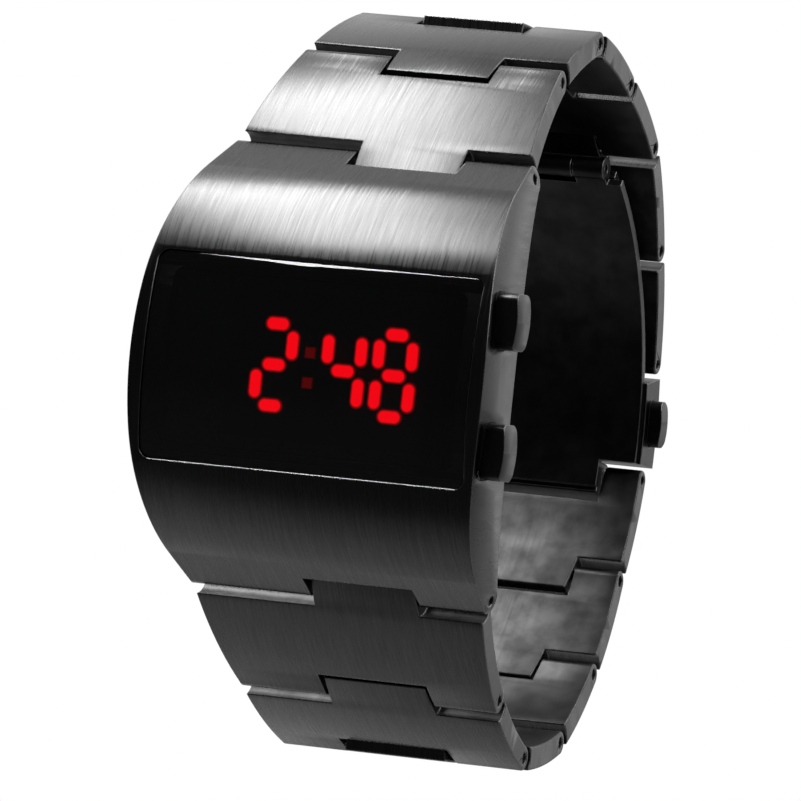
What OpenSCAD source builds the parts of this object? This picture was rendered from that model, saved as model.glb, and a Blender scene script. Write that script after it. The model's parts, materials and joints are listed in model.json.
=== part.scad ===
// Bracelet watch with a curved case, a lit digit display, interlocking pinned links and a folding clasp.
// X runs across the band with the push-pieces on +X, Z points to twelve o'clock and the face looks along -Y.
// The origin is the middle of the loop, where the wrist goes through along X.

/* [Case] */
// Width across the middle of the case
case_w = 37; // [35:0.5:40]
// Width across each end of the case
case_end_w = 30.9; // [30.5:0.1:33]
// Height of the case before its ends are rounded
case_h = 44.8; // [43.6:0.2:47]
// Depth of the case at its middle
case_t = 8.2; // [8.1:0.1:9]
// Distance from the middle of the loop to the front of the case
face_reach = 37; // [36:0.5:39]
// Radius of the gentle curve across the window
face_r = 38; // [36:1:42]
// Half height of that gentle curve
face_half = 7; // [6.5:0.25:7.5]
// Radius of the tighter curve above and below it
shoulder_r = 17.5; // [17:0.25:18.5]
// Slope of the case ends from upright, in degrees
end_slope = 61; // [59:1:63]

/* [Window] */
// Width of the window opening
window_w = 34.1; // [32.8:0.1:34.4]
// Height of the window opening
window_h = 20.5; // [18.8:0.1:20.8]
// Corner radius of the window opening
window_corner = 1.1; // [0.9:0.1:2]
// Thickness of the crystal
crystal_t = 1.2; // [1:0.05:1.3]
// How far the crystal lies below the face of the case
crystal_sink = 0.15; // [0.1:0.05:0.3]
// Thickness of the crystal gasket and of the back gasket
gasket_t = 0.3; // [0.2:0.05:0.35]
// Width of the ledge that carries the crystal
ledge_w = 1.8; // [1.7:0.1:2]

/* [Display] */
// Width of the display panel
panel_w = 22.2; // [21:0.2:22.2]
// Height of the display panel
panel_h = 14.4; // [13:0.2:15]
// Thickness of the display panel
panel_t = 1; // [0.8:0.05:1.05]
// How far the panel sits to the right of the middle
panel_shift = 2.4; // [1.6:0.1:2.4]
// Height of a digit between the middles of its top and bottom bars
digit_h = 7.85; // [7:0.05:8.2]
// Width of a digit between the middles of its side bars
digit_w = 3.4; // [3.2:0.1:3.5]
// Width of a lit bar
bar_w = 1.25; // [1:0.05:1.3]
// Length of an upright bar
bar_long = 2.75; // [2.2:0.05:2.8]
// Length of a level bar
bar_short = 2.35; // [1.9:0.05:2.6]
// Middle of the digit of the hours
hour_x = -3.9; // [-4.4:0.1:-3.6]
// Middle of the digit of the ten minutes
tens_x = 3.2; // [2.8:0.1:3.2]
// Distance from there to the digit of the minutes
digit_pitch = 5.2; // [5.1:0.1:5.4]
// Middle of the colon
colon_x = -0.3; // [-0.5:0.1:-0.1]

/* [Inside] */
// Width of the hollow in the case
hollow_w = 30.6; // [30:0.1:31]
// Height of the hollow in the case
hollow_h = 25; // [24.4:0.1:25.6]
// Thickness of the case back
back_t = 1.1; // [0.9:0.05:1.2]
// How far the case back reaches past the hollow all round
back_lip = 1.3; // [1.2:0.1:1.5]
// Thickness of the circuit board
board_t = 0.6; // [0.5:0.05:0.65]
// Diameter of a coin cell
cell_d = 12.5; // [11.6:0.1:12.5]
// Thickness of a coin cell
cell_t = 1.9; // [1.4:0.05:1.95]
// Distance between the middles of the two cells
cell_pitch = 13.6; // [13.4:0.1:13.8]

/* [Push-pieces] */
// Height of a push-piece
pusher_h = 5.5; // [5:0.1:6]
// Depth of a push-piece from front to back
pusher_d = 3.4; // [3:0.1:3.6]
// How far a push-piece stands out of the case
pusher_out = 1.9; // [1.5:0.1:2.2]
// Travel of a push-piece
pusher_travel = 0.5; // [0.3:0.05:0.55]
// Height of a push-piece above or below the middle
pusher_z = 6.3; // [6:0.1:6.5]
// Distance from the front of the case back to the middle of a push-piece
pusher_y = 4; // [4:0.05:4.2]
// Diameter of the stem
stem_d = 1.5; // [1.2:0.1:1.6]

/* [Bracelet] */
// Thickness of the first links at the case
band_t = 2.6; // [2.5:0.05:2.7]
// Thickness of the last links at the clasp
last_t = 2.1; // [2:0.05:2.3]
// Distance between the pins of the first link on each side
first_pitch = 14.6; // [14:0.1:15]
// Distance between the pins of the other upper links
upper_pitch = 12.4; // [12.2:0.1:12.6]
// Distance between the pins of the other lower links
lower_pitch = 12; // [11.9:0.1:12.3]
// Width of the first link at its far pin
first_w = 27.5; // [26.5:0.1:28.5]
// Width of the last link at its far pin
last_w = 19.6; // [19.2:0.1:20.4]
// How much narrower each link starts than the one before it ends
step_w = 0.1; // [0.05:0.05:1]
// Radius of the outer face of a link
link_r = 40; // [36:1:60]
// Width of the tongues
tongue_w = 11.3; // [10.8:0.1:11.6]
// How far a tongue reaches past its pin
tongue_reach = 2.4; // [2.2:0.05:2.5]
// How much a tongue narrows toward its tip on each side
tongue_draft = 0.4; // [0.1:0.05:0.6]
// Sideways offset of the tongues in the case
case_offset = 3; // [2:0.1:3.2]
// Sideways offset of the tongues at the next pins
second_offset = 1.3; // [0.8:0.1:1.6]
// Diameter of the link pins
pin_d = 1.1; // [1:0.05:1.2]

/* [Clasp] */
// Outer radius of the clasp leaf
leaf_r = 33.5; // [33.4:0.05:33.6]
// Thickness of the leaf and the plate
sheet_t = 0.8; // [0.7:0.05:0.85]
// Width of the plate
plate_w = 19; // [18:0.1:19.2]
// Width of the leaf
leaf_w = 17; // [16.4:0.1:17.4]
// Direction from the middle of the clasp's curve to the hinge of leaf and plate, in degrees
tip_a = 56; // [54:0.5:57]
// Diameter of the hinge knuckles of leaf and plate
tip_d = 2.3; // [2.1:0.05:2.4]
// Width of the knuckle of the leaf
tip_w = 9; // [8:0.1:10]
// Diameter of the hinge pin
tip_pin_d = 0.9; // [0.8:0.05:1]
// Diameter of the spring bars
bar_d = 1.3; // [1.2:0.05:1.4]
// Diameter of the tips of the spring bars
bar_tip_d = 0.8; // [0.7:0.05:0.9]

/* [Latch] */
// Outer radius of the latch housing
latch_r = 36.2; // [36:0.05:36.4]
// Length of a latch button along the band
button_l = 4.8; // [4.4:0.1:5.2]
// Depth of a latch button from outside to inside
button_d = 1.9; // [1.7:0.05:1.95]
// How far a latch button stands out of the housing
button_out = 1.4; // [1.2:0.1:1.6]
// Travel of a latch button
button_travel = 0.8; // [0.75:0.05:0.85]
// Width of the catch
catch_w = 9.8; // [9.6:0.1:10]

/* [Hidden] */
$fn = 64;
steel = "#3a3a3c";
dark = "#202022";
bright = "#9a9a9e";

// Small clearances, all in one place
slip = 0.05;
press = 0.02;
side_gap = 0.15;
joint_gap = 0.5;
ear_gap = 0.95;
sheet_gap = 0.25;
past = 6;

// Slopes of the links in the closed loop, from the case to the clasp, in degrees from straight back
upper_slopes = [44, 23, -15, -27, -55, -68];
lower_slopes = [42, 28, -8, -36, -54, -62];
last = len(upper_slopes);

function dir(a) = [cos(a), sin(a)];
function pitch_of(k, pitch) = k == 1 ? first_pitch : pitch;
function far_w(k) = k == 0 ? case_end_w : first_w + (last_w - first_w)*(k - 1)/(last - 1);
function near_w(k) = far_w(k - 1) - step_w;
function offset_of(k) = k == 0 ? case_offset : k == 1 ? second_offset : 0;
function ear(k) = (band_t + (last_t - band_t)*k/last)/2;
function chain(slopes, pitch, start) = [
    for (k = 0, p = start; k <= last; p = k < last ? p + pitch_of(k + 1, pitch)*dir(slopes[k]) : p, k = k + 1) p
];

// The side view of the case, as [Y, Z]
face_y = -face_reach;
face_a = asin(face_half/face_r);
face_c = [face_y + face_r, 0];
shoulder_c = face_c + (face_r - shoulder_r)*[-cos(face_a), sin(face_a)];
curve_end = shoulder_c + shoulder_r*dir(180 - end_slope);
along = dir(90 - end_slope);
inward = dir(-end_slope);
corner = curve_end + (case_h/2 - curve_end[1])/along[1]*along;
case_pin = corner + ear(0)*(inward - along);
ear_in = case_pin + ear(0)*inward;
back_y = face_y + case_t;
back_drop = ear_in[0] - back_y;
back_r = (back_drop*back_drop + ear_in[1]*ear_in[1])/(2*back_drop);
back_c = [back_y + back_r, 0];
waist = (case_w - case_end_w)/2;
flank_r = (case_h*case_h/4 + waist*waist)/(2*waist);
function half_w(z) = case_w/2 - flank_r + sqrt(flank_r*flank_r - z*z);

// Depths behind the face of the case
ledge_depth = crystal_sink + crystal_t + gasket_t;
ledge_t = 0.7;
panel_y = face_y + crystal_sink + crystal_t + 0.85;
board_y = panel_y + panel_t;
frame_y = board_y + board_t;
cover_r = back_r + back_t;
post_r = 1.7;
post_x = hollow_w/2 - 0.9;
post_z = hollow_h/2 - 0.9;
screw_d = 1.2;
screw_head_d = 2.2;
screw_head_t = 0.5;
screw_y = back_c[0] - sqrt(back_r*back_r - post_z*post_z) - screw_head_t - slip;
screw_tip_y = face_y + 6.8;
chip = [4.4, 1.1, 3];
chip_z = 6.4;
can_l = 5.8;
can_d = 2;
can_z = -6.3;
contact_d = 4;
strap_w = 4;
strap_reach = 4.5;
cell_y = frame_y + 0.5;
cell_mid = -0.7;
lit_t = 0.12;
pill_y = panel_y - lit_t;

// Push-pieces
pusher_r = 0.8;
pusher_face_x = half_w(pusher_z) + pusher_out;
pusher_floor_x = half_w(pusher_z) - 0.75;
pusher_back_x = pusher_floor_x + 0.1 + pusher_travel;
seal_t = 0.4;
seal_x = hollow_w/2 + seal_t/2;
spring_seat_x = seal_x + 2*seal_t;
spring_d = 1.9;
board_right = hollow_w/2 - 1.8;
board_shift = -0.7;
strip_t = 0.15;
stem_tip_x = board_right + strip_t + 2*slip + pusher_travel;
clip_t = 0.3;
clip_d = stem_d + 0.5;
wire_d = 0.16;
clip_x = hollow_w/2 - clip_t - slip;

// Pins of the two chains, as [Y, Z], with the lower chain drawn as its mirror image
upper_pins = chain(upper_slopes, upper_pitch, case_pin);
lower_pins = chain(lower_slopes, lower_pitch, case_pin);
notch_w = tongue_w + 2*side_gap;
tip_round = tongue_reach + 0.15;

// The clasp curves round one middle
clasp_c = [0, -2.9];
plate_r = leaf_r - sheet_t - sheet_gap;
function polar_of(p) = [norm(p - clasp_c), atan2(p[1] - clasp_c[1], p[0] - clasp_c[0])];
knuckle_1 = upper_pins[last];
knuckle_2 = [lower_pins[last][0], -lower_pins[last][1]];
k1 = polar_of(knuckle_1);
k2 = polar_of(knuckle_2);
tip_r = leaf_r - sheet_t - sheet_gap/2;
tip = clasp_c + tip_r*dir(tip_a);
lug_w = tongue_w - 0.2;
lug_r = 1.3;
function arc_a(l, r) = l/r*180/PI;
tip_clear_a = arc_a(tip_d/2 + 0.35, tip_r);
knuckle_clear_a = arc_a(lug_r + 0.35, k1[0]);
latch_lo = k2[1] + arc_a(ear(last) + joint_gap, k2[0]);
latch_hi = k1[1] - knuckle_clear_a;
latch_a = (latch_lo + latch_hi)/2;
latch_half = (latch_hi - latch_lo)/2*PI/180*k1[0];
latch_w = last_w;
floor_r = plate_r + 0.35;
wall_t = 1;
pocket_x = latch_w/2 - 3;
button_r = 34.55;
flange_d = button_d + 0.9;
flange_l = button_l + 0.9;
arm_r = [floor_r + 0.1, floor_r + 0.95];
catch_r = [arm_r[1] + 0.12, arm_r[1] + 2.05];
ledge_r = catch_r[0] + 0.9;
catch_lo = latch_a - arc_a(2.6, ledge_r);
catch_step = 0.9;
hook_x = catch_w/2 + 0.12;
hook_t = 0.85;
hook_z = [0.9, 2.1];
plate_side = plate_w/2 - 1.5;

// A flat drawing of [Y, Z] made solid across the band
module across(w, x = 0) {
    translate([x - w/2, 0, 0]) rotate([90, 0, 90]) linear_extrude(w) children();
}

// A rod across the band at a point of the side view
module rod(p, d, w, x = 0) {
    translate([x - w/2, p[0], p[1]]) rotate([0, 90, 0]) cylinder(d = d, h = w);
}

// A drawing of [X, Z] made solid from y0 back to y1
module upright(y0, y1) {
    translate([0, y1, 0]) rotate([90, 0, 0]) linear_extrude(y1 - y0) children();
}

// A drawing of [Y, Z] made solid from x0 to x1
module sideways(x0, x1) {
    translate([x0, 0, 0]) rotate([90, 0, 90]) linear_extrude(x1 - x0) children();
}

module round_rect(w, h, r) {
    square([w - 2*r, h], center = true);
    square([w, h - 2*r], center = true);
    for (x = [-1, 1], y = [-1, 1]) translate([x*(w/2 - r), y*(h/2 - r)]) circle(r);
}

module pill(l, w) {
    square([l - w, w], center = true);
    for (x = [-1, 1]) translate([x*(l - w)/2, 0]) circle(d = w);
}

// A piece of pie round the origin, less than 90 degrees wide
module wedge(r, a0, a1) {
    intersection() {
        circle(r);
        polygon([[0, 0], 2*r*dir(a0), 2*r*dir(a1)]);
    }
}

module ring_piece(r0, r1, a0, a1) {
    difference() {
        wedge(r1, a0, a1, $fn = 256);
        circle(r0, $fn = 256);
    }
}

// The upper half of something and its mirror image below
module both() {
    children();
    mirror([0, 0, 1]) children();
}

// Everything behind the face of the case, sunk by a depth, of pieces that overlap where they meet
module behind_face(sink = 0, w = case_w) {
    across(w) translate(face_c) wedge(face_r - sink, 180 - face_a, 180 + face_a, $fn = 256);
    both() across(w) translate(shoulder_c)
        wedge(shoulder_r - sink, 172 - end_slope, 195 - face_a, $fn = 256);
}

// The case before its flanks are rounded and its openings cut
module case_blank() {
    difference() {
        union() {
            behind_face();
            both() across(case_w)
                polygon([shoulder_c, curve_end, case_pin - ear(0)*inward, case_pin, ear_in]);
        }
        rod(back_c, 2*back_r, case_w + 2, $fn = 256);
    }
    both() rod(case_pin, 2*ear(0), case_w);
}

// A shell that follows the inner face of the case
module back_shell(r0, r1) {
    difference() {
        rod(back_c, 2*r1, case_w + 2, $fn = 256);
        rod(back_c, 2*r0, case_w + 4, $fn = 256);
    }
}

module hollow_2d(grow = 0) {
    difference() {
        round_rect(hollow_w + 2*grow, hollow_h + 2*grow, 1.5);
        for (x = [-1, 1], z = [-1, 1]) translate([x*post_x, z*post_z]) circle(post_r - grow);
    }
}

module cover_2d(grow = 0) {
    round_rect(hollow_w + 2*(back_lip + grow), hollow_h + 2*(back_lip + grow), 2 + grow);
}

module at_screws() {
    for (x = [-1, 1], z = [-1, 1]) translate([x*post_x, 0, z*post_z]) children();
}

// The place of a push-piece, 1 for the upper and -1 for the lower
module at_pusher(side) {
    translate([0, face_y + pusher_y, side*pusher_z]) children();
}

module stem_bore(x0, x1, d) {
    translate([x0, 0, 0]) rotate([0, 90, 0]) cylinder(d = d, h = x1 - x0);
}

// The slot in the end of the case or a link that takes the next tongue, at the pin
module notch(shift) {
    reach = tongue_reach + joint_gap;
    translate([shift - notch_w/2, -reach, -past]) cube([notch_w, reach + past, 2*past]);
}

module case_body() {
    color(steel) difference() {
        intersection() {
            case_blank();
            for_flank() cylinder(r = flank_r, h = 4*face_reach, center = true, $fn = 256);
        }
        difference() {
            upright(face_y - 1, face_y + 6) round_rect(window_w, window_h, window_corner);
            behind_face(ledge_depth);
        }
        upright(face_y, frame_y + 0.5)
            round_rect(window_w - 2*ledge_w, window_h - 2*ledge_w, window_corner);
        difference() {
            upright(face_y, face_y + case_t + past) hollow_2d();
            difference() {
                behind_face(-5);
                behind_face(ledge_depth + ledge_t, case_w + 1);
            }
        }
        intersection() {
            upright(face_y + 5, face_y + case_t + past) cover_2d(slip);
            back_shell(back_r - 3, cover_r + gasket_t);
        }
        at_screws() upright(screw_tip_y - joint_gap, face_y + 3*case_t) circle(d = screw_d);
        for (side = [-1, 1]) at_pusher(side) {
            sideways(pusher_floor_x, pusher_floor_x + past)
                round_rect(pusher_d + 2*slip, pusher_h + 2*slip, pusher_r + slip);
            stem_bore(spring_seat_x, pusher_floor_x + 1, spring_d + 0.2);
            stem_bore(hollow_w/2 - 1, pusher_floor_x, stem_d + 2*slip);
            stem_bore(seal_x - slip/2, seal_x + seal_t + slip/2, stem_d + 2*seal_t + 2*slip);
        }
        for (side = [0, 1]) mirror([0, 0, side]) {
            translate([0, case_pin[0], case_pin[1]]) rotate([90 - end_slope, 0, 0]) notch(case_offset);
            rod(case_pin, pin_d + 2*press, case_w);
        }
    }
}

// Both flanks of the case are parts of large cylinders
module for_flank() {
    intersection_for(side = [-1, 1])
        translate([side*(case_w/2 - flank_r), 0, 0]) rotate([90, 0, 0]) children();
}

// The part of a plug along Y that lies between two depths behind the face
module layer(d0, d1) {
    difference() {
        intersection() {
            upright(face_y - 1, face_y + 7) children();
            behind_face(d0);
        }
        behind_face(d1, case_w + 1);
    }
}

module window_crystal() {
    color("#0c0c10") layer(crystal_sink, crystal_sink + crystal_t)
        round_rect(window_w - 0.2, window_h - 0.2, window_corner - 0.1);
}

module crystal_gasket() {
    color("#101010") layer(crystal_sink + crystal_t, ledge_depth) difference() {
        round_rect(window_w - 0.3, window_h - 0.3, window_corner - 0.15);
        round_rect(window_w - 2*ledge_w + 0.2, window_h - 2*ledge_w + 0.2, window_corner);
    }
}

// The screws sink into flats that are cut level at the corners of the curved cover
module case_back() {
    color(bright) difference() {
        intersection() {
            upright(face_y + 5, face_y + case_t + past) cover_2d();
            back_shell(back_r, cover_r);
        }
        at_screws() {
            upright(face_y, face_y + 3*case_t) circle(d = screw_d + 2*slip);
            upright(screw_y, face_y + 3*case_t) circle(d = screw_head_d + 2*slip);
        }
    }
}

module back_gasket() {
    color("#101010") difference() {
        intersection() {
            upright(face_y + 5, face_y + case_t + past) difference() {
                cover_2d(-0.1);
                hollow_2d(0.2);
            }
            back_shell(cover_r, cover_r + gasket_t);
        }
        at_screws() upright(face_y, face_y + 3*case_t) circle(d = screw_d + 4*slip);
    }
}

module back_screws() {
    slot_w = 0.3;
    color(bright) at_screws() difference() {
        union() {
            upright(screw_y, screw_y + screw_head_t) circle(d = screw_head_d);
            upright(screw_tip_y, screw_y) circle(d = screw_d - 2*press);
        }
        translate([-screw_head_d, screw_y + screw_head_t/2, -slot_w/2])
            cube([2*screw_head_d, screw_head_t, slot_w]);
    }
}

module module_2d(h) {
    translate([board_shift, 0]) round_rect(2*(board_right - board_shift), h, 0.8);
}

module display_panel() {
    color("#141416") upright(panel_y, board_y)
        translate([panel_shift, 0]) round_rect(panel_w, panel_h, 0.5);
}

// The bars of a lit digit, lettered as usual from the top one round to the middle one
bars = [
    ["a", 0, 1, 0], ["b", 1, 0.5, 90], ["c", 1, -0.5, 90], ["d", 0, -1, 0],
    ["e", -1, -0.5, 90], ["f", -1, 0.5, 90], ["g", 0, 0, 0]
];

module digit(x, lit) {
    for (bar = bars) if (len(search(bar[0], lit)) > 0)
        translate([x + bar[1]*digit_w/2, bar[2]*digit_h/2]) rotate(bar[3])
            pill(bar[3] == 0 ? bar_short : bar_long, bar_w);
}

module lit_digits() {
    color("#ff1a10") upright(pill_y, panel_y) {
        digit(hour_x, "abged");
        digit(tens_x, "fgbc");
        digit(tens_x + digit_pitch, "abcdefg");
    }
}

module colon_dots() {
    color("#8a0c08") upright(pill_y, panel_y)
        for (z = [-1, 1]) translate([colon_x, z*1.45]) square(bar_w - 0.15, center = true);
}

module circuit_board() {
    color("#1d5a33") upright(board_y, frame_y) module_2d(window_h - 2*ledge_w - 0.4);
}

module driver_chip() {
    color("#161616") translate([cell_mid - chip[0]/2, frame_y, chip_z - chip[2]/2]) cube(chip);
}

module quartz_can() {
    color("#c8c8cc") rod([frame_y + can_d/2 + slip, can_z], can_d, can_l, cell_mid);
}

module at_cells() {
    for (x = [-1, 1]) translate([x*cell_pitch/2 + cell_mid, 0, 0]) children();
}

// Room in the frame for something that stands on the circuit board, by its size and height
module pocket(size, z) {
    room = size + [2*joint_gap, 2 + joint_gap, 2*joint_gap]/2;
    translate([cell_mid - room[0]/2, frame_y - 1, z - room[2]/2]) cube(room);
}

module module_frame() {
    color("#2a2a2e") difference() {
        intersection() {
            upright(frame_y, face_y + case_t + past) module_2d(hollow_h - 0.8);
            behind_face(ledge_depth + ledge_t + 0.2);
        }
        rod(back_c, 2*(cover_r + gasket_t + 0.15), case_w, $fn = 256);
        at_screws() upright(face_y, face_y + 3*case_t) circle(post_r + 0.2);
        at_cells() upright(cell_y, face_y + 3*case_t) circle(d = cell_d + 0.3);
        at_cells() upright(frame_y - 1, cell_y + 1) circle(d = contact_d + 1);
        pocket(chip, chip_z);
        pocket([can_l, can_d, can_d], can_z);
        translate([cell_mid - cell_pitch, cell_y + cell_t - 2*slip, -strap_w/2 - 0.2])
            cube([2*cell_pitch, past, strap_w + 0.4]);
    }
}

module coin_cells() {
    color("#b4b4b8") at_cells() {
        upright(cell_y, cell_y + 0.5) circle(d = cell_d - 2);
        upright(cell_y + 0.5, cell_y + cell_t) circle(d = cell_d);
    }
}

// A springy strap that holds both cells and joins them
module cell_clip() {
    strap_t = 0.2;
    color("#c0a860") upright(cell_y + cell_t, cell_y + cell_t + strap_t) {
        translate([cell_mid, 0]) square([cell_pitch + 2*strap_reach, strap_w], center = true);
    }
}

module cell_contacts() {
    color("#c0a860") at_cells() difference() {
        upright(frame_y, cell_y) circle(d = contact_d);
        upright(frame_y + strip_t, cell_y - strip_t) square([2*contact_d, contact_d - 1], center = true);
    }
}

// Springy strips between the stems and the circuit board
module pusher_contacts() {
    color("#c0a860") for (side = [-1, 1]) at_pusher(side)
        translate([board_right + slip, -1, -1.6]) cube([strip_t, 3.6, 3.2]);
}

module pusher(side) {
    arch = 0.3;
    color(steel) at_pusher(side) {
        intersection() {
            sideways(pusher_back_x, pusher_face_x + arch) round_rect(pusher_d, pusher_h, pusher_r);
            arch_r = (pusher_h*pusher_h/4 + arch*arch)/(2*arch);
            translate([pusher_face_x + arch - arch_r, 0, 0]) rotate([90, 0, 0])
                cylinder(r = arch_r, h = 10, center = true, $fn = 128);
        }
        difference() {
            stem_bore(stem_tip_x, pusher_back_x + 0.5, stem_d);
            difference() {
                stem_bore(clip_x - slip, clip_x + clip_t + slip, clip_d);
                stem_bore(stem_tip_x, pusher_back_x, stem_d - 0.4);
            }
        }
    }
}

// An open ring that snaps into the groove of the stem
module pusher_clip(side) {
    color(bright) at_pusher(side) difference() {
        stem_bore(clip_x, clip_x + clip_t, clip_d);
        stem_bore(0, 20, stem_d - 0.36);
        translate([0, -0.5, 0]) cube([20, 1, 3]);
    }
}

module pusher_seals() {
    color("#101010") for (side = [-1, 1]) at_pusher(side) translate([seal_x + seal_t/2, 0, 0])
        rotate([0, 90, 0]) rotate_extrude()
            translate([stem_d/2 + slip + seal_t/2, 0]) circle(d = seal_t, $fn = 24);
}

// Wire wound round the X axis from x = 0
module coil(turns, coil_d, wire_d, l) {
    rings = 9;
    sides = 6;
    count = turns*rings;
    points = [
        for (i = [0:count]) let (a = i*360/rings, x = wire_d/2 + (l - wire_d)*i/count)
            for (s = [0:sides - 1]) let (r = coil_d/2 + wire_d/2*cos(s*360/sides))
                [x + wire_d/2*sin(s*360/sides), r*cos(a), r*sin(a)]
    ];
    walls = [
        for (i = [0:count - 1], s = [0:sides - 1]) let (n = (s + 1)%sides)
            each [[i*sides + s, (i + 1)*sides + s, i*sides + n],
                  [i*sides + n, (i + 1)*sides + s, (i + 1)*sides + n]]
    ];
    first_cap = [for (s = [0:sides - 1]) s];
    last_cap = [for (s = [sides - 1:-1:0]) count*sides + s];
    polyhedron(points, concat([first_cap], walls, [last_cap]), convexity = 10);
}

module pusher_spring(side) {
    color(bright) at_pusher(side) translate([spring_seat_x, 0, 0])
        coil(4, spring_d - wire_d, wire_d, pusher_back_x - spring_seat_x);
}

module case_pins() {
    for (side = [0, 1]) mirror([0, 0, side]) link_pin(case_pin, 2*half_w(case_pin[1]) - 0.6);
}

// A pin with a split end, as it shows in the side of the band
module link_pin(p, w) {
    slot_w = 0.22;
    slot_l = 2.4;
    color(bright) difference() {
        rod(p, pin_d, w);
        translate([w/2 - slot_l, p[0] - slot_w/2, p[1] - pin_d]) cube([slot_l + 1, slot_w, 2*pin_d]);
    }
}

// Middle of an arc of radius r from a to b, which bows to the left of the way from a to b
function arc_middle(a, b, r) =
    (a + b)/2 + sqrt(r*r - (b - a)*(b - a)/4)*[b[1] - a[1], a[0] - b[0]]/norm(b - a);

// Side view of link k with its near pin at the origin and its far pin at [p, 0]
module link_side(k, p) {
    near = ear(k - 1);
    far = ear(k);
    inner_r = link_r - near - far;
    intersection() {
        difference() {
            translate(arc_middle([0, near], [p, far], link_r)) circle(link_r, $fn = 256);
            translate(arc_middle([0, -near], [p, -far], inner_r)) circle(inner_r, $fn = 256);
        }
        difference() {
            translate([-tongue_reach, -band_t]) square([tongue_reach + p, 2.5*band_t]);
            difference() {
                translate([-2*band_t, -2*band_t]) square([2*band_t, 4*band_t]);
                circle(tip_round);
            }
        }
    }
    translate([p, 0]) circle(far);
}

// Plan of link k with its far slot, as [X, distance from the near pin]
module link_plan(k, p, far_gap) {
    floor_u = p - tongue_reach - far_gap;
    near_u = -tongue_reach - 1;
    end_u = p + band_t;
    function half(u) = (near_w(k) + (far_w(k) - near_w(k))*u/p)/2;
    polygon([
        [-half(near_u), near_u], [half(near_u), near_u], [half(end_u), end_u],
        [offset_of(k) + notch_w/2, end_u], [offset_of(k) + notch_w/2, floor_u],
        [offset_of(k) - notch_w/2, floor_u], [offset_of(k) - notch_w/2, end_u], [-half(end_u), end_u]
    ]);
}

// What is cut away round the ears of the link or case before, beside the tongue
module ear_room(k) {
    room_r = ear(k - 1) + ear_gap;
    near_u = -tongue_reach - 2;
    half = tongue_w/2;
    difference() {
        union() {
            rod([0, 0], 2*room_r, case_w);
            translate([-case_w/2, near_u, -past]) cube([case_w, -near_u, 2*past]);
        }
        translate([offset_of(k - 1), 0, -past - 1]) linear_extrude(2*past + 2)
            polygon([[-half, room_r + 1], [-half + tongue_draft, near_u - 1],
                     [half - tongue_draft, near_u - 1], [half, room_r + 1]]);
    }
}

// A link in its own frame: X across, Y along the band, Z out of the loop
module link(k, p, far_gap = joint_gap) {
    far_bore = k == last ? bar_tip_d + 2*slip : pin_d + 2*press;
    color(steel) difference() {
        intersection() {
            across(case_w) link_side(k, p);
            translate([0, 0, -past]) linear_extrude(2*past) link_plan(k, p, far_gap);
        }
        ear_room(k);
        rod([0, 0], pin_d + 2*slip, case_w);
        rod([p, 0], far_bore, case_w);
    }
}

// The frame of link k of a chain
module at_link(pins, slopes, k) {
    translate([0, pins[k - 1][0], pins[k - 1][1]]) rotate([slopes[k - 1], 0, 0]) children();
}

module upper_link(k) {
    at_link(upper_pins, upper_slopes, k) link(k, pitch_of(k, upper_pitch));
}

// The last one has a deeper slot, so that the clasp leaves it freely
module lower_link(k) {
    mirror([0, 0, 1]) at_link(lower_pins, lower_slopes, k)
        link(k, pitch_of(k, lower_pitch), k == last ? 1.6*joint_gap : joint_gap);
}

module upper_pin(k) {
    link_pin(upper_pins[k], far_w(k) - 0.6);
}

module lower_pin(k) {
    mirror([0, 0, 1]) link_pin(lower_pins[k], far_w(k) - 0.6);
}

// A sprung bar with a collar at each end and two tips
module spring_bar(p, tip_out) {
    collar = 0.8;
    color(bright) {
        rod(p, bar_d, lug_w - 2*collar);
        for (x = [-1, 1]) rod(p, bar_d + 0.2, collar, x*(lug_w - collar)/2);
        if (tip_out > 0) for (x = [-1, 1]) rod(p, bar_tip_d, tip_out, x*(lug_w + tip_out)/2);
    }
}

module bar_bore(p) {
    rod(p, bar_d + 0.2 + 2*slip, lug_w + 2);
}

module clasp_arc(r0, r1, a0, a1) {
    translate(clasp_c) ring_piece(r0, r1, a0, a1);
}

// A block from a sheet's inner radius out to a knuckle
module lug(p, k, r) {
    translate(p) {
        rotate(k[1]) translate([r - k[0], -lug_r]) square([k[0] - r, 2*lug_r]);
        circle(lug_r);
    }
}

// A tongue beyond a knuckle that fills the slot of the last link in the direction a
module end_tongue(p, a) {
    across(lug_w) translate(p) rotate(a) intersection() {
        translate([0, -ear(last)]) square([tongue_reach, 2*ear(last)]);
        circle(tip_round);
    }
}

module clasp_leaf() {
    inner = leaf_r - sheet_t;
    color(steel) difference() {
        union() {
            across(leaf_w) clasp_arc(inner, leaf_r, latch_hi + 0.3, tip_a - tip_clear_a);
            across(tip_w) {
                clasp_arc(inner, leaf_r, tip_a - 2*tip_clear_a, tip_a);
                translate(tip) circle(d = tip_d);
            }
            across(lug_w) lug(knuckle_1, k1, inner);
            end_tongue(knuckle_1, 180 + upper_slopes[last - 1]);
            across(catch_w) clasp_arc(catch_r[0], ledge_r, catch_lo, k1[1]);
            across(catch_w - 2*catch_step) clasp_arc(catch_r[0], catch_r[1], catch_lo, k1[1]);
        }
        rod(tip, tip_pin_d + 2*slip, case_w);
        bar_bore(knuckle_1);
    }
}

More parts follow.
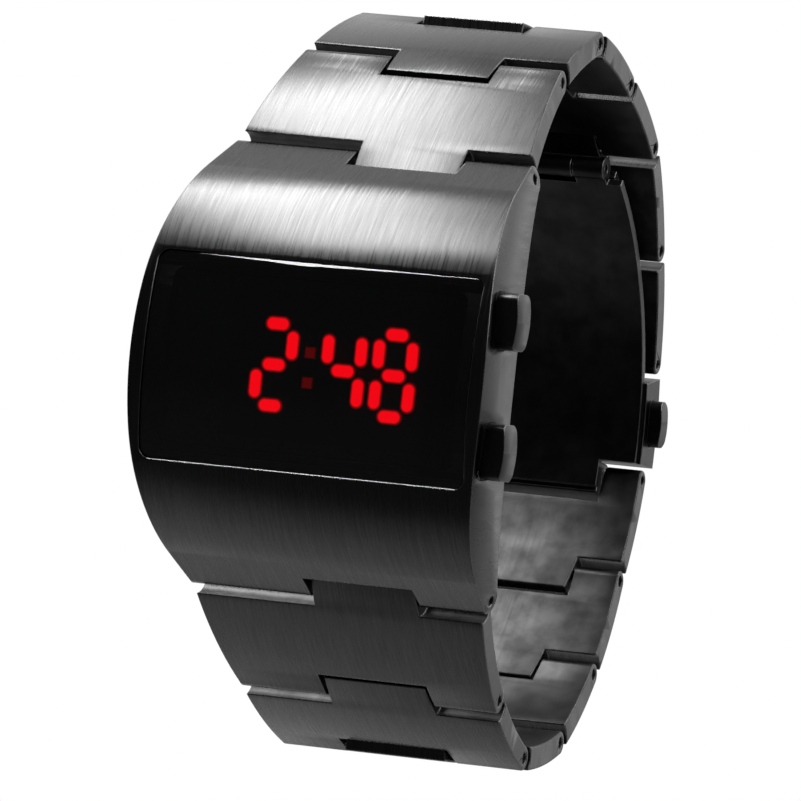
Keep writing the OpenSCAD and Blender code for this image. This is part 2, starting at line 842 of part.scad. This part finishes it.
module clasp_plate() {
    inner = plate_r - sheet_t;
    side_w = plate_side - tip_w/2 - 0.2;
    color(steel) difference() {
        union() {
            across(plate_w) clasp_arc(inner, plate_r, latch_lo, tip_a - tip_clear_a);
            for (x = [-1, 1]) across(side_w, x*(tip_w + 0.4 + side_w)/2) {
                clasp_arc(inner, plate_r, tip_a - 2*tip_clear_a, tip_a);
                translate(tip) circle(d = tip_d);
            }
            across(lug_w) {
                clasp_arc(inner, plate_r, k2[1], latch_a);
                lug(knuckle_2, k2, inner);
            }
            end_tongue(knuckle_2, 180 - lower_slopes[last - 1]);
        }
        rod(tip, tip_pin_d + 2*press, case_w);
        bar_bore(knuckle_2);
    }
}

module clasp_hinge_pin() {
    color(bright) rod(tip, tip_pin_d, 2*plate_side - 0.4);
}

// The frame of the latch: X across, Y out from the middle of the clasp's curve, Z along the band
module at_latch() {
    translate([0, clasp_c[0], clasp_c[1]]) rotate([latch_a, 0, 0]) children();
}

module latch_block(x0, x1, r0, r1, t0, t1) {
    translate([x0, r0, t0]) cube([x1 - x0, r1 - r0, t1 - t0]);
}

// A post on the floor of the latch that both springs bear on
module latch_post() {
    latch_block(-0.4, 0.4, plate_r, floor_r + 1, -0.65, 0.65);
}

module latch_housing() {
    half = latch_w/2;
    color(steel) difference() {
        across(latch_w) clasp_arc(plate_r, latch_r, latch_lo, latch_hi);
        at_latch() {
            difference() {
                latch_block(-pocket_x, pocket_x, floor_r, latch_r + past, 0.8 - latch_half, latch_half + past);
                latch_post();
            }
            translate([0, button_r, 0]) {
                sideways(-half - 1, half + 1)
                    round_rect(button_d + 2*slip, button_l + 2*slip, button_d/2);
                sideways(-half + wall_t, half - wall_t)
                    round_rect(flange_d + 2*slip, flange_l + 2*slip, 0.4);
            }
            difference() {
                latch_block(-half + wall_t, half - wall_t, floor_r, button_r,
                            -flange_l/2 - slip, flange_l/2 + slip);
                latch_post();
            }
        }
    }
}

// The right-hand button with its arm, whose hook holds the far edge of the catch
module latch_button() {
    half = latch_w/2;
    flange_x = half - wall_t - slip;
    arch = 0.25;
    arch_r = (button_l*button_l/4 + arch*arch)/(2*arch);
    color(steel) {
        intersection() {
            translate([0, button_r, 0]) sideways(flange_x - 0.2, half + button_out)
                round_rect(button_d, button_l, button_d/2 - slip);
            translate([half + button_out - arch_r, button_r, 0]) rotate([90, 0, 0])
                cylinder(r = arch_r, h = 10, center = true, $fn = 128);
        }
        difference() {
            translate([0, button_r, 0]) sideways(flange_x - 0.8, flange_x)
                round_rect(flange_d, flange_l, 0.4);
            latch_block(0, latch_w, 0, floor_r + slip, -flange_l, flange_l);
        }
        latch_block(-hook_x - hook_t, flange_x - 0.4, arm_r[0], arm_r[1], hook_z[0], hook_z[1]);
        latch_block(-hook_x - hook_t, -hook_x, arm_r[0], ledge_r + 0.8, hook_z[0], hook_z[1]);
        latch_block(-hook_x - hook_t, -hook_x + 0.75, ledge_r + 0.1, ledge_r + 0.8, hook_z[0], hook_z[1]);
    }
}

module latch_button_right() {
    at_latch() latch_button();
}

module latch_button_left() {
    at_latch() rotate([0, 180, 0]) latch_button();
}

module latch_springs() {
    spring_l = latch_w/2 - wall_t - slip - 0.8 - 0.4;
    color(bright) at_latch() for (turn = [0, 180]) rotate([0, turn, 0])
        translate([0.4, floor_r + 0.52, 0]) coil(8, 0.75, 0.16, spring_l);
}

case_body();
window_crystal();
crystal_gasket();
case_back();
back_gasket();
back_screws();
module_frame();
circuit_board();
display_panel();
lit_digits();
colon_dots();
driver_chip();
quartz_can();
coin_cells();
cell_clip();
cell_contacts();
pusher_contacts();
case_pins();
pusher(1);  // upper_pusher
pusher(-1);  // lower_pusher
pusher_spring(1);  // upper_pusher_spring
pusher_spring(-1);  // lower_pusher_spring
pusher_clip(1);  // upper_pusher_clip
pusher_clip(-1);  // lower_pusher_clip
pusher_seals();
for (k = [1:last]) {
    upper_link(k);
    lower_link(k);
}
for (k = [1:last - 1]) {
    upper_pin(k);
    lower_pin(k);
}
spring_bar(knuckle_1, 3);  // upper_spring_bar
spring_bar(knuckle_2, 0);  // lower_spring_bar
clasp_leaf();
clasp_plate();
clasp_hinge_pin();
latch_housing();
latch_button_right();
latch_button_left();
latch_springs();
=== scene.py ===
import json
import math
import bmesh
import bpy
from mathutils import Matrix, Vector


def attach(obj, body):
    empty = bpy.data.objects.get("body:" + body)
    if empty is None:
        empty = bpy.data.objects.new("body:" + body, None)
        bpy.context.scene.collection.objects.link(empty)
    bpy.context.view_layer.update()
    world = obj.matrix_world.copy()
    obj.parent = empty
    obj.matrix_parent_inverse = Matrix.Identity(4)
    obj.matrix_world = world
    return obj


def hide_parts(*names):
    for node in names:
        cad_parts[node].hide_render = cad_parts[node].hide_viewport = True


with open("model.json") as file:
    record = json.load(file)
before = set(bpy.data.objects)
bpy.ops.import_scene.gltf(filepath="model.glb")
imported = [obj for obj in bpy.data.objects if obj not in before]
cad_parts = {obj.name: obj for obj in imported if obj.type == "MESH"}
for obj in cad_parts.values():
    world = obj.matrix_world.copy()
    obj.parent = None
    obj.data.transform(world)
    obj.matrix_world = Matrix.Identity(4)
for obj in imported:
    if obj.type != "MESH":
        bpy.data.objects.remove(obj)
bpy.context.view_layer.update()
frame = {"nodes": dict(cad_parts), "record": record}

MM = 0.001
NODES = frame["nodes"]

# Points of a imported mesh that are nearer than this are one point
SAME_POINT = 0.002*MM
# Faces that turn by less than this against each other are one face
SAME_FACE = math.radians(1)
# Edges that turn by more than this are eased, to these widths on steel and on glass
SHARP = math.radians(40)
STEEL_EASE = 0.2*MM
GLASS_EASE = 0.15*MM
# Depth of a lit bar, which ends just short of the display panel
BAR_T = 0.1*MM
# Glow of a lit bar in its middle, at its rim and where its painted halo ends
FULL, RIM, NONE = 1.0, 0.5, 0.0
# The floor lies below the longest reach of the opened band, so that it hides none of it
FLOOR_Z = -105*MM
FLOOR_SIDE = 3.0
# The paint of the floor goes from dark to pale between these places along Y
FLOOR_DARK_Y = -80*MM
FLOOR_PALE_Y = -20*MM
WHITE = (1, 1, 1, 1)


# The camera stands where the photograph was taken from. The length of its lens, focal, is in pixels, and
# the photograph shows axis_point at axis_pixel
def add_camera():
    picture = 801
    focal = 8954
    distance = 835.8*MM
    azimuth, elevation, roll = math.radians(23.16), math.radians(-0.99), math.radians(6.0)
    axis_pixel = (182.85, 349.34)
    axis_point = Vector((0, -67.25*MM, 0))

    level = Vector((math.cos(azimuth), math.sin(azimuth), 0))
    back = Vector((math.cos(elevation)*math.sin(azimuth),
                   -math.cos(elevation)*math.cos(azimuth), math.sin(elevation)))
    upright = back.cross(level)
    right = level*math.cos(roll) + upright*math.sin(roll)
    up = upright*math.cos(roll) - level*math.sin(roll)
    aside = (picture/2 - axis_pixel[0], picture/2 - axis_pixel[1])
    aim = -back*focal + right*aside[0] - up*aside[1]
    forward = aim.normalized()
    right = forward.cross(up).normalized()
    up = right.cross(forward)

    data = bpy.data.cameras.new("camera")
    data.sensor_width = 36
    data.lens = data.sensor_width*aim.length/picture
    data.clip_end = 20
    camera = bpy.data.objects.new("camera", data)
    turn = Matrix((right, up, -forward)).transposed().to_4x4()
    camera.matrix_world = Matrix.Translation(axis_point + back*distance) @ turn
    bpy.context.scene.collection.objects.link(camera)
    bpy.context.scene.camera = camera


# Colours are written as sRGB hex values
def colour(text):
    values = [int(text[i:i + 2], 16)/255 for i in (1, 3, 5)]
    return [v/12.92 if v <= 0.04045 else ((v + 0.055)/1.055)**2.4 for v in values] + [1]


# Adds a node with its settings, the two stops of its colour ramp where it has one, and its inputs, which
# are values or links from other nodes. An input is called by its name, with _ for a space, or by its
# number, with _ before it
def node(tree, kind, settings=None, stops=(), **inputs):
    made = tree.nodes.new(kind)
    for name, value in (settings or {}).items():
        setattr(made, name, value)
    for i, (place, text) in enumerate(stops):
        made.color_ramp.elements[i].position = place
        made.color_ramp.elements[i].color = colour(text)
    for name, value in inputs.items():
        socket = made.inputs[int(name[1:])] if name[1:].isdigit() else made.inputs[name.replace("_", " ")]
        if isinstance(value, bpy.types.NodeSocket):
            tree.links.new(value, socket)
        else:
            socket.default_value = value
    return made


def material(name):
    made = bpy.data.materials.new(name)
    made.use_nodes = True
    made.node_tree.nodes.clear()
    return made, made.node_tree


# Black-plated stainless steel, brushed along the band. Its hairs are 5 mm long and lie in bunches, each
# at a slightly different tilt, so that a highlight ends raggedly. Real hairs are finer than 0.12 mm, and
# they are drawn as coarse as they need to show. The flanks are an even satin, and at the edges the
# polish shows through brighter, with a painted highlight on top. The inner faces are a duller satin,
# with handling smears
def brushed_black_steel(name, base, light, rough=0.42, tilt=0.04):
    hair, run = 0.12*MM, 5*MM
    smear = 2.5*MM
    edge_round_radius = 0.2*MM
    # The edges take a pale grey: worn polish, and a painted highlight as well
    dull, polish_and_highlight_grey = "#242424", "#8c8c8c"
    # How much less rough the outer faces are
    outer_gloss = 0.14
    # The way of the pins, turned a little so that no face's normal lies along it
    pin_way = (1, 0.01, 0.02)
    dot, cross = {"operation": "DOT_PRODUCT"}, {"operation": "CROSS_PRODUCT"}
    mix = {"data_type": "RGBA"}

    made, tree = material(name)
    place = node(tree, "ShaderNodeTexCoord").outputs["Object"]
    normal = node(tree, "ShaderNodeNewGeometry").outputs["Normal"]
    rounded = node(tree, "ShaderNodeBevel", {"samples": 6}, Radius=edge_round_radius).outputs[0]

    fine = node(tree, "ShaderNodeMapping", Vector=place, Scale=(1/hair, 1/run, 1/run)).outputs[0]
    hairs = node(tree, "ShaderNodeTexNoise", Vector=fine, Scale=1.0, Detail=2.0, Roughness=0.6).outputs[0]
    # A bunch is wider and longer than a hair, and its pattern is moved away from the hairs' own
    wide = node(tree, "ShaderNodeMapping", Vector=place, Location=(7, 3, 5),
                Scale=(0.7/hair, 0.6/run, 0.6/run)).outputs[0]
    bunches = node(tree, "ShaderNodeTexNoise", Vector=wide, Scale=1.0, Detail=3.0,
                   Roughness=0.7).outputs[0]
    smears = node(tree, "ShaderNodeTexNoise", Vector=place, Scale=1/smear, Detail=3.0).outputs[0]

    # The brushing is on faces that look away from the wrist, and not on the flanks, which look along X
    sideways = node(tree, "ShaderNodeVectorMath", dot, _0=normal, _1=(1, 0, 0)).outputs["Value"]
    flank = node(tree, "ShaderNodeMath", {"operation": "ABSOLUTE"}, _0=sideways).outputs[0]
    face = node(tree, "ShaderNodeMapRange", _0=flank, _1=0.35, _2=0.75, _3=1.0, _4=0.0).outputs[0]
    radial = node(tree, "ShaderNodeVectorMath", dot, _0=normal, _1=place).outputs["Value"]
    outer = node(tree, "ShaderNodeMapRange", _0=radial, _1=-2*MM, _2=4*MM, _3=0.0, _4=1.0).outputs[0]
    brushed = node(tree, "ShaderNodeMath", {"operation": "MULTIPLY"}, _0=face, _1=outer).outputs[0]
    # An edge is where the rounded normal leaves the face's own, and there the colour is brighter: worn
    # polish and a painted highlight
    same = node(tree, "ShaderNodeVectorMath", dot, _0=normal, _1=rounded).outputs["Value"]
    polish_and_highlight_mask = node(tree, "ShaderNodeMapRange", _0=same, _1=0.99, _2=0.75, _3=0.0, _4=1.0).outputs[0]

    streaks = node(tree, "ShaderNodeValToRGB", stops=[(0.3, base), (0.72, light)], Fac=hairs).outputs[0]
    satin = node(tree, "ShaderNodeValToRGB", stops=[(0.35, dull), (0.7, base)], Fac=smears).outputs[0]
    plain = node(tree, "ShaderNodeMix", mix, _0=outer, _6=satin, _7=colour(base)).outputs[2]
    body = node(tree, "ShaderNodeMix", mix, _0=brushed, _6=plain, _7=streaks).outputs[2]
    # Brighter grey at the edges: worn polish and a painted highlight
    tone = node(tree, "ShaderNodeMix", mix, _0=polish_and_highlight_mask, _6=body, _7=colour(polish_and_highlight_grey)).outputs[2]

    varied = node(tree, "ShaderNodeMapRange", _0=bunches, _1=0.3, _2=0.7, _3=rough - 0.04,
                  _4=rough + 0.05).outputs[0]
    sheen = node(tree, "ShaderNodeMath", {"operation": "MULTIPLY_ADD"}, _0=outer, _1=-outer_gloss,
                 _2=varied).outputs[0]

    # Each bunch leans a little along the band
    along = node(tree, "ShaderNodeVectorMath", cross, _0=rounded, _1=pin_way).outputs[0]
    across = node(tree, "ShaderNodeVectorMath", cross, _0=along, _1=rounded).outputs[0]
    lean = node(tree, "ShaderNodeMapRange", _0=bunches, _1=0.0, _2=1.0, _3=-tilt, _4=tilt).outputs[0]
    share = node(tree, "ShaderNodeMath", {"operation": "MULTIPLY"}, _0=lean, _1=brushed).outputs[0]
    leaning = node(tree, "ShaderNodeVectorMath", {"operation": "MULTIPLY_ADD"}, _0=along, _1=share,
                   _2=rounded).outputs[0]
    unit = node(tree, "ShaderNodeVectorMath", {"operation": "NORMALIZE"}, _0=leaning).outputs[0]
    bump = node(tree, "ShaderNodeBump", Strength=0.03, Distance=0.02*MM, Height=hairs,
                Normal=unit).outputs[0]

    steel = node(tree, "ShaderNodeBsdfPrincipled", Base_Color=tone, Metallic=1.0, Roughness=sheen,
                 Anisotropic=0.7, Tangent=across, Normal=bump).outputs[0]
    node(tree, "ShaderNodeOutputMaterial", Surface=steel)
    return made


# A plain finish: a base colour mottled by a fine grain, with grain in the gloss as well
def grained(name, base, light, metallic=0.0, rough=0.4, grain_mm=0.2, bump_mm=0.0, coat=0.0):
    gloss_spread = 0.06
    made, tree = material(name)
    place = node(tree, "ShaderNodeTexCoord").outputs["Object"]
    grain = node(tree, "ShaderNodeTexNoise", Vector=place, Scale=1/(grain_mm*MM), Detail=3.0).outputs[0]
    tone = node(tree, "ShaderNodeValToRGB", stops=[(0.3, base), (0.7, light)], Fac=grain).outputs[0]
    sheen = node(tree, "ShaderNodeMapRange", _0=grain, _1=0.3, _2=0.7, _3=rough - gloss_spread,
                 _4=rough + gloss_spread).outputs[0]
    finish = node(tree, "ShaderNodeBsdfPrincipled", Base_Color=tone, Metallic=metallic, Roughness=sheen,
                  Coat_Weight=coat)
    if bump_mm > 0:
        bump = node(tree, "ShaderNodeBump", Strength=0.5, Distance=bump_mm*MM, Height=grain).outputs[0]
        tree.links.new(bump, finish.inputs["Normal"])
    node(tree, "ShaderNodeOutputMaterial", Surface=finish.outputs[0])
    return made


# Smoked mineral glass, polished: it mirrors the room weakly and darkens what lies behind it
def smoked_glass():
    made, tree = material("smoked_mineral_glass")
    glass = node(tree, "ShaderNodeBsdfPrincipled", Base_Color=colour("#68686c"), Roughness=0.0, IOR=1.52,
                 Transmission_Weight=1.0).outputs[0]
    node(tree, "ShaderNodeOutputMaterial", Surface=glass)
    return made


# Red light behind a diffuser: full in the middle of a bar, and past its rim a painted glow that dies
# away, as the attribute "glow" of the piece says
def red_light(name, core, rim, strength):
    made, tree = material(name)
    glow = node(tree, "ShaderNodeAttribute", {"attribute_name": "glow"}).outputs["Fac"]
    tone = node(tree, "ShaderNodeValToRGB", stops=[(0.45, rim), (0.85, core)], Fac=glow).outputs[0]
    level = node(tree, "ShaderNodeMapRange", _0=glow, _1=NONE, _2=0.8, _3=0.0, _4=strength).outputs[0]
    shine = node(tree, "ShaderNodeEmission", Color=tone, Strength=level).outputs[0]
    clear = node(tree, "ShaderNodeBsdfTransparent").outputs[0]
    cover = node(tree, "ShaderNodeMapRange", _0=glow, _1=NONE, _2=RIM, _3=0.0, _4=1.0).outputs[0]
    both = node(tree, "ShaderNodeMixShader", _0=cover, _1=clear, _2=shine).outputs[0]
    node(tree, "ShaderNodeOutputMaterial", Surface=both)
    return made


# Makes an object of a finished shape
def make_object(name, shape, finish):
    mesh = bpy.data.meshes.new(name)
    shape.to_mesh(mesh)
    shape.free()
    mesh.materials.append(finish)
    made = bpy.data.objects.new(name, mesh)
    bpy.context.scene.collection.objects.link(made)
    return made


# The lit bars of a node as one piece: the front of each bar is inset, so that its middle is full of
# light, and a thin rim of painted glow lies round it
def lit_piece(name, source, finish, core_mm, painted_halo_mm):
    shape = bmesh.new()
    shape.from_mesh(NODES[source].data)
    bmesh.ops.remove_doubles(shape, verts=shape.verts, dist=SAME_POINT)
    bmesh.ops.dissolve_limit(shape, angle_limit=SAME_FACE, verts=shape.verts, edges=shape.edges)
    glow = shape.verts.layers.float.new("glow")
    # Only the faces that look forward stay
    fronts = [f for f in shape.faces if f.normal.y < -0.9]
    others = [f for f in shape.faces if f not in fronts]
    bmesh.ops.delete(shape, geom=others, context="FACES")
    for v in shape.verts:
        v[glow] = RIM
    bmesh.ops.inset_individual(shape, faces=fronts, thickness=core_mm*MM, use_even_offset=True)
    for f in fronts:
        for v in f.verts:
            v[glow] = FULL
    # The rim grows outward into a painted halo of glow, which fades to nothing
    rim = [e for e in shape.edges if e.is_boundary]
    grown = bmesh.ops.extrude_edge_only(shape, edges=rim)["geom"]
    middles = [f.calc_center_median() for f in fronts]
    for v in grown:
        if isinstance(v, bmesh.types.BMVert):
            away = v.co - min(middles, key=lambda m: (m - v.co).length)
            away.y = 0
            v.co += away.normalized()*painted_halo_mm*MM
            v[glow] = NONE
    bmesh.ops.recalc_face_normals(shape, faces=shape.faces)
    if sum(f.normal.y for f in shape.faces) > 0:
        bmesh.ops.reverse_faces(shape, faces=shape.faces)
    bmesh.ops.solidify(shape, geom=shape.faces, thickness=BAR_T)
    piece = make_object(name, shape, finish)
    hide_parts(source)
    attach(piece, "case")
    return piece


def add_display():
    bright = red_light("lit_red_segments", core="#ff0010", rim="#8c0006", strength=7.0)
    dim = red_light("dim_red_dots", core="#b00008", rim="#600004", strength=1.3)
    bars = lit_piece("glowing_bars", "lit_digits", bright, core_mm=0.22, painted_halo_mm=0.22)
    dots = lit_piece("dim_dots", "colon_dots", dim, core_mm=0.2, painted_halo_mm=0.1)


# The sharp edges of a piece are eased, as tumbling leaves them
def ease_edges(piece, width):
    weld = piece.modifiers.new("joined", "WELD")
    weld.merge_threshold = SAME_POINT
    bevel = piece.modifiers.new("eased", "BEVEL")
    bevel.width = width
    bevel.segments = 2
    bevel.limit_method = "ANGLE"
    bevel.angle_limit = SHARP


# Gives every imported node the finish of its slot
def dress():
    steel = brushed_black_steel("brushed_black_steel", "#383838", "#444444")
    satin = brushed_black_steel("satin_black_steel", "#343434", "#404040", rough=0.48, tilt=0.03)
    # Painted panel behind the glass: nearly black, with a soft sheen
    panel = grained("black_display_panel", "#242426", "#2a2a2c", rough=0.35, grain_mm=0.2)
    finishes = {
        "case_steel": steel, "link_steel": steel,
        "clasp_steel": satin, "back_steel": satin, "pusher_steel": satin,
        # Turned steel of the pins, screws and clips: bright, with a faint grain
        "pin_steel": grained("turned_steel", "#8f8f93", "#b9b9bd", metallic=1.0, rough=0.22,
                             grain_mm=0.08),
        # Drawn spring wire: paler, and a little softer in its shine
        "spring_steel": grained("spring_wire", "#a0a0a4", "#c2c2c6", metallic=1.0, rough=0.28,
                                grain_mm=0.06),
        "window_glass": smoked_glass(),
        # Moulded rubber: deep black and dull
        "seal_rubber": grained("moulded_rubber", "#0c0c0c", "#181818", rough=0.6, grain_mm=0.1,
                               bump_mm=0.01),
        # Moulded black plastic: an even, soft shine
        "frame_plastic": grained("moulded_frame_plastic", "#030303", "#060606", rough=0.5,
                                 grain_mm=0.12, bump_mm=0.008),
        # Green solder mask of the circuit board, glossy under a thin clear coat
        "board": grained("green_solder_mask", "#0c3a1e", "#14522c", rough=0.3, grain_mm=0.3, coat=0.3),
        "display": panel, "lit_segments": panel, "dim_segments": panel,
        # Moulded epoxy of the chip: matt, nearly black
        "chip": grained("moulded_epoxy", "#141414", "#202020", rough=0.55, grain_mm=0.08,
                        bump_mm=0.006),
        # Nickel plating: bright and slightly warm
        "nickel": grained("nickel_plating", "#b2b0a8", "#ccc9c0", metallic=1.0, rough=0.2,
                          grain_mm=0.15),
        # Rolled spring bronze: a warm yellow brown
        "contact_brass": grained("spring_bronze", "#a8864a", "#c49c58", metallic=1.0, rough=0.3,
                                 grain_mm=0.1),
    }
    eased = ("case_body", "upper_pusher", "lower_pusher")
    for part in frame["record"]["subparts"]:
        name, slot = part["node"], part["material_slot"]
        piece = NODES[name]
        piece.data.materials.clear()
        piece.data.materials.append(finishes[slot])
        if name in eased or "link" in name:
            ease_edges(piece, STEEL_EASE)
        elif name == "window_crystal":
            ease_edges(piece, GLASS_EASE)


def add_lamp(name, place, target, size, watts):
    data = bpy.data.lights.new(name, "AREA")
    data.shape = "RECTANGLE"
    data.size, data.size_y = size
    data.energy = watts
    lamp = bpy.data.objects.new(name, data)
    way = Vector(target) - Vector(place)
    lamp.matrix_world = Matrix.Translation(place) @ way.to_track_quat("-Z", "Y").to_matrix().to_4x4()
    lamp.visible_camera = False
    bpy.context.scene.collection.objects.link(lamp)


# The overhead lamp makes the bright bands on the case and the first link, and the others light the sides
def add_lamps():
    side = {"target": (0, 0, 0), "size": (0.5, 0.5), "watts": 2.5}
    add_lamp("overhead", place=(-0.234, -0.086, 0.545), target=(0, -0.02, 0), size=(0.55, 0.26), watts=8.8)
    add_lamp("right", place=(0.62, -0.1, 0.38), **side)
    add_lamp("back", place=(0.48, 0.36, 0.5), **side)
    add_lamp("left", place=(-0.7, 0.2, 0.3), **side)


# A white room, which the camera sees all round, and metal and glass only behind the watch. In front of
# it they see a dark room, as the black face in the photograph does
def add_room():
    dark = 0.05
    world = bpy.data.worlds.new("studio")
    bpy.context.scene.world = world
    world.use_nodes = True
    tree = world.node_tree
    tree.nodes.clear()
    paths = node(tree, "ShaderNodeLightPath").outputs
    way = node(tree, "ShaderNodeTexCoord").outputs["Generated"]
    depth = node(tree, "ShaderNodeSeparateXYZ", Vector=way).outputs["Y"]
    behind = node(tree, "ShaderNodeMapRange", _0=depth, _1=-0.1, _2=0.6, _3=0.0, _4=1.0).outputs[0]
    mirrored = node(tree, "ShaderNodeMath", {"operation": "MAXIMUM"}, _0=paths["Is Glossy Ray"],
                    _1=paths["Is Transmission Ray"]).outputs[0]
    shown = node(tree, "ShaderNodeMath", {"operation": "MULTIPLY"}, _0=mirrored, _1=behind).outputs[0]
    seen = node(tree, "ShaderNodeMath", {"operation": "MAXIMUM"}, _0=paths["Is Camera Ray"],
                _1=shown).outputs[0]
    white = node(tree, "ShaderNodeBackground", Color=WHITE, Strength=1.0).outputs[0]
    room = node(tree, "ShaderNodeBackground", Color=WHITE, Strength=dark).outputs[0]
    mixed = node(tree, "ShaderNodeMixShader", _0=seen, _1=room, _2=white).outputs[0]
    node(tree, "ShaderNodeOutputWorld", Surface=mixed)


# A pale floor below the watch, which the camera sees white but for the shadow. Its paint goes dark in
# front, where the face of the case mirrors it
def add_floor():
    camera_lift, mirror_lift = 0.97, 0.05
    made, tree = material("pale_painted_floor")
    place = node(tree, "ShaderNodeTexCoord").outputs["Object"]
    depth = node(tree, "ShaderNodeSeparateXYZ", Vector=place).outputs["Y"]
    share = node(tree, "ShaderNodeMapRange", _0=depth, _1=FLOOR_DARK_Y, _2=FLOOR_PALE_Y, _3=0.0,
                 _4=1.0).outputs[0]
    coat = node(tree, "ShaderNodeValToRGB", stops=[(0.0, "#181818"), (1.0, "#909090")],
                Fac=share).outputs[0]
    paths = node(tree, "ShaderNodeLightPath").outputs
    mirrored = node(tree, "ShaderNodeMath", {"operation": "MULTIPLY"}, _0=paths["Is Glossy Ray"],
                    _1=mirror_lift).outputs[0]
    lift = node(tree, "ShaderNodeMath", {"operation": "MULTIPLY_ADD"}, _0=paths["Is Camera Ray"],
                _1=camera_lift, _2=mirrored).outputs[0]
    paint = node(tree, "ShaderNodeBsdfPrincipled", Base_Color=coat, Roughness=0.9,
                 Specular_IOR_Level=0.0, Emission_Color=WHITE, Emission_Strength=lift).outputs[0]
    node(tree, "ShaderNodeOutputMaterial", Surface=paint)
    shape = bmesh.new()
    bmesh.ops.create_grid(shape, x_segments=1, y_segments=1, size=FLOOR_SIDE/2,
                          matrix=Matrix.Translation((0, 0, FLOOR_Z)))
    make_object("floor", shape, made)


add_camera()
dress()
add_display()
add_lamps()
add_room()
add_floor()
bpy.context.scene.view_settings.view_transform = "Standard"
